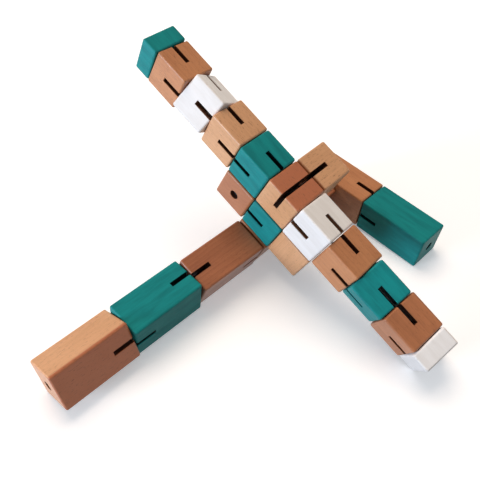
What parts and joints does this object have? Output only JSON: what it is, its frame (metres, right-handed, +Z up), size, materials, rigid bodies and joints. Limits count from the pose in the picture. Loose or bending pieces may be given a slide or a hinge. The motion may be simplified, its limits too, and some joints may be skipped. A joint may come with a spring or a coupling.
{
  "type": "twisty snake puzzle",
  "caption": "Square wooden blocks with saw-cut slots, strung on crossing elastic cords as a figure with arms, legs and head; they twist and fold, and pack into a cube.",
  "frame": {"origin": "on the ground, in the middle of the part's outline seen from above", "axes": "+Z up, -Y towards the left leg's foot, +X towards the right hand that rests on the ground"},
  "size_m": [0.1916, 0.2012, 0.0986],
  "materials": {
    "beech_clear_wax": "satin",
    "teal_paint": "satin",
    "white_paint": "satin",
    "elastic_cord": "matte"
  },
  "bodies": {
    "shoulder_hub": {"shoulder_hub_cube_beech": "beech_clear_wax", "arm_cord_shoulder": "elastic_cord", "column_cord_shoulder": "elastic_cord"},
    "neck_link": {"neck_cord_link": "elastic_cord"},
    "head": {"head_cube_beech": "beech_clear_wax", "head_cord": "elastic_cord", "head_cord_knot": "elastic_cord"},
    "left_arm_1": {"left_arm_cube_1_teal": "teal_paint", "left_arm_cord_1": "elastic_cord"},
    "left_elbow_link": {"left_arm_cord_link": "elastic_cord"},
    "left_arm_2": {"left_arm_cube_2_beech": "beech_clear_wax", "left_arm_cord_2": "elastic_cord"},
    "left_arm_3": {"left_arm_cube_3_white": "white_paint", "left_arm_cord_3": "elastic_cord"},
    "left_arm_4": {"left_arm_cube_4_beech": "beech_clear_wax", "left_arm_cord_4": "elastic_cord"},
    "left_hand": {"left_arm_hand_half_cube_teal": "teal_paint", "left_arm_cord_5": "elastic_cord", "left_arm_cord_knot": "elastic_cord"},
    "right_arm_1": {"right_arm_cube_1_white": "white_paint", "right_arm_cord_1": "elastic_cord"},
    "right_arm_2": {"right_arm_cube_2_beech": "beech_clear_wax", "right_arm_cord_2": "elastic_cord"},
    "right_arm_3": {"right_arm_cube_3_teal": "teal_paint", "right_arm_cord_3": "elastic_cord"},
    "right_arm_4": {"right_arm_cube_4_beech": "beech_clear_wax", "right_arm_cord_4": "elastic_cord"},
    "right_hand": {"right_arm_hand_half_cube_white": "white_paint", "right_arm_cord_5": "elastic_cord", "right_arm_cord_knot": "elastic_cord"},
    "waist_hub": {"waist_hub_cube_teal": "teal_paint", "waist_cord_centre": "elastic_cord", "column_cord_waist": "elastic_cord"},
    "left_waist_end": {"left_waist_end_cube_beech": "beech_clear_wax", "left_waist_cord": "elastic_cord", "left_waist_cord_knot": "elastic_cord"},
    "right_waist_end": {"right_waist_end_cube_beech": "beech_clear_wax", "right_waist_cord": "elastic_cord", "right_waist_cord_knot": "elastic_cord"},
    "hip_hub": {"hip_hub_cube_beech": "beech_clear_wax", "leg_cord_hip": "elastic_cord", "column_cord_hip_loop": "elastic_cord"},
    "left_hip_link": {"left_leg_cord_link": "elastic_cord"},
    "left_leg_1": {"left_leg_block_1_beech": "beech_clear_wax", "left_leg_cord_1": "elastic_cord"},
    "left_leg_2": {"left_leg_block_2_teal": "teal_paint", "left_leg_cord_2": "elastic_cord"},
    "left_foot": {"left_leg_foot_block_beech": "beech_clear_wax", "left_leg_cord_3": "elastic_cord", "left_leg_cord_knot": "elastic_cord"},
    "right_leg_1": {"right_leg_block_1_beech": "beech_clear_wax", "right_leg_cord_1": "elastic_cord"},
    "right_knee_link": {"right_leg_cord_link": "elastic_cord"},
    "right_leg_2": {"right_leg_block_2_beech": "beech_clear_wax", "right_leg_cord_2": "elastic_cord"},
    "right_foot": {"right_leg_foot_block_teal": "teal_paint", "right_leg_cord_3": "elastic_cord", "right_leg_cord_knot": "elastic_cord"}
  },
  "joints": [
    {"name": "neck_fold", "type": "hinge", "parent": "shoulder_hub", "child": "neck_link", "pos_m": [0.00347, 0.03986, 0.05961], "axis": [0.9189, 0, -0.3944], "range_deg": [0, 180]},
    {"name": "head_twist", "type": "hinge", "parent": "neck_link", "child": "head", "pos_m": [-0.00048, 0.04986, 0.05042], "axis": [0, 1, 0], "continuous": true},
    {"name": "left_shoulder_fold", "type": "hinge", "parent": "shoulder_hub", "child": "left_arm_1", "pos_m": [-0.00572, 0.02986, 0.06355], "axis": [0, 1, 0], "range_deg": [0, 90]},
    {"name": "left_elbow_fold", "type": "hinge", "parent": "left_arm_1", "child": "left_elbow_link", "pos_m": [-0.02804, 0.01926, 0.06225], "axis": [0.3944, 0, 0.9189], "range_deg": [0, 90]},
    {"name": "left_elbow_twist", "type": "hinge", "parent": "left_elbow_link", "child": "left_arm_2", "pos_m": [-0.03723, 0.02986, 0.0662], "axis": [0.9189, 0, -0.3944], "continuous": true},
    {"name": "left_arm_twist_2", "type": "hinge", "parent": "left_arm_2", "child": "left_arm_3", "pos_m": [-0.04642, 0.02986, 0.07014], "axis": [0.9189, 0, -0.3944], "continuous": true},
    {"name": "left_arm_twist_3", "type": "hinge", "parent": "left_arm_3", "child": "left_arm_4", "pos_m": [-0.0648, 0.02986, 0.07803], "axis": [0.9189, 0, -0.3944], "continuous": true},
    {"name": "left_hand_twist", "type": "hinge", "parent": "left_arm_4", "child": "left_hand", "pos_m": [-0.08318, 0.02986, 0.08592], "axis": [0.9189, 0, -0.3944], "continuous": true},
    {"name": "right_shoulder_fold", "type": "hinge", "parent": "shoulder_hub", "child": "right_arm_1", "pos_m": [0.00871, 0.01766, 0.04647], "axis": [-0.3944, 0, -0.9189], "range_deg": [0, 90]},
    {"name": "right_arm_twist_1", "type": "hinge", "parent": "right_arm_1", "child": "right_arm_2", "pos_m": [0.02709, 0.02986, 0.03858], "axis": [0.9189, 0, -0.3944], "continuous": true},
    {"name": "right_arm_twist_2", "type": "hinge", "parent": "right_arm_2", "child": "right_arm_3", "pos_m": [0.04547, 0.02986, 0.0307], "axis": [0.9189, 0, -0.3944], "continuous": true},
    {"name": "right_arm_twist_3", "type": "hinge", "parent": "right_arm_3", "child": "right_arm_4", "pos_m": [0.06385, 0.02986, 0.02281], "axis": [0.9189, 0, -0.3944], "continuous": true},
    {"name": "right_hand_twist", "type": "hinge", "parent": "right_arm_4", "child": "right_hand", "pos_m": [0.08223, 0.02986, 0.01492], "axis": [0.9189, 0, -0.3944], "continuous": true},
    {"name": "column_upper_twist", "type": "hinge", "parent": "shoulder_hub", "child": "waist_hub", "pos_m": [-0.00454, 0.02986, 0.04095], "axis": [0.3944, 0, 0.9189], "range_deg": [-12, 120]},
    {"name": "column_lower_twist", "type": "hinge", "parent": "waist_hub", "child": "hip_hub", "pos_m": [-0.01266, 0.02986, 0.02202], "axis": [0.3944, 0, 0.9189], "range_deg": [-12, 90]},
    {"name": "left_waist_fold", "type": "hinge", "parent": "waist_hub", "child": "left_waist_end", "pos_m": [-0.01779, 0.01986, 0.03543], "axis": [0.3944, 0, 0.9189], "range_deg": [0, 180]},
    {"name": "right_waist_fold", "type": "hinge", "parent": "waist_hub", "child": "right_waist_end", "pos_m": [-0.00336, 0.02986, 0.01835], "axis": [0, 1, 0], "range_deg": [0, 90]},
    {"name": "left_hip_fold", "type": "hinge", "parent": "hip_hub", "child": "left_hip_link", "pos_m": [-0.02647, 0.01971, 0.01674], "axis": [-0.3944, 0, -0.9189], "range_deg": [0, 90]},
    {"name": "left_hip_twist", "type": "hinge", "parent": "left_hip_link", "child": "left_leg_1", "pos_m": [-0.01742, -0.00043, 0.01256], "axis": [-0.0349, -0.9994, 0], "continuous": true},
    {"name": "left_knee_twist", "type": "hinge", "parent": "left_leg_1", "child": "left_leg_2", "pos_m": [-0.01812, -0.02042, 0.01256], "axis": [-0.0349, -0.9994, 0], "continuous": true},
    {"name": "left_foot_twist", "type": "hinge", "parent": "left_leg_2", "child": "left_foot", "pos_m": [-0.01952, -0.06039, 0.01256], "axis": [-0.0349, -0.9994, 0], "continuous": true},
    {"name": "right_hip_twist", "type": "hinge", "parent": "hip_hub", "child": "right_leg_1", "pos_m": [-0.01673, 0.03986, 0.01256], "axis": [0, 1, 0], "continuous": true},
    {"name": "right_knee_twist", "type": "hinge", "parent": "right_leg_1", "child": "right_knee_link", "pos_m": [-0.01673, 0.07986, 0.01256], "axis": [0, 1, 0], "continuous": true},
    {"name": "right_knee_fold", "type": "hinge", "parent": "right_knee_link", "child": "right_leg_2", "pos_m": [-0.02707, 0.08051, 0.01296], "axis": [0.0402, -0.0014, 0.9992], "range_deg": [0, 90]},
    {"name": "right_foot_twist", "type": "hinge", "parent": "right_leg_2", "child": "right_foot", "pos_m": [0.01323, 0.08941, 0.01135], "axis": [0.9986, -0.0349, -0.0402], "continuous": true}
  ]
}
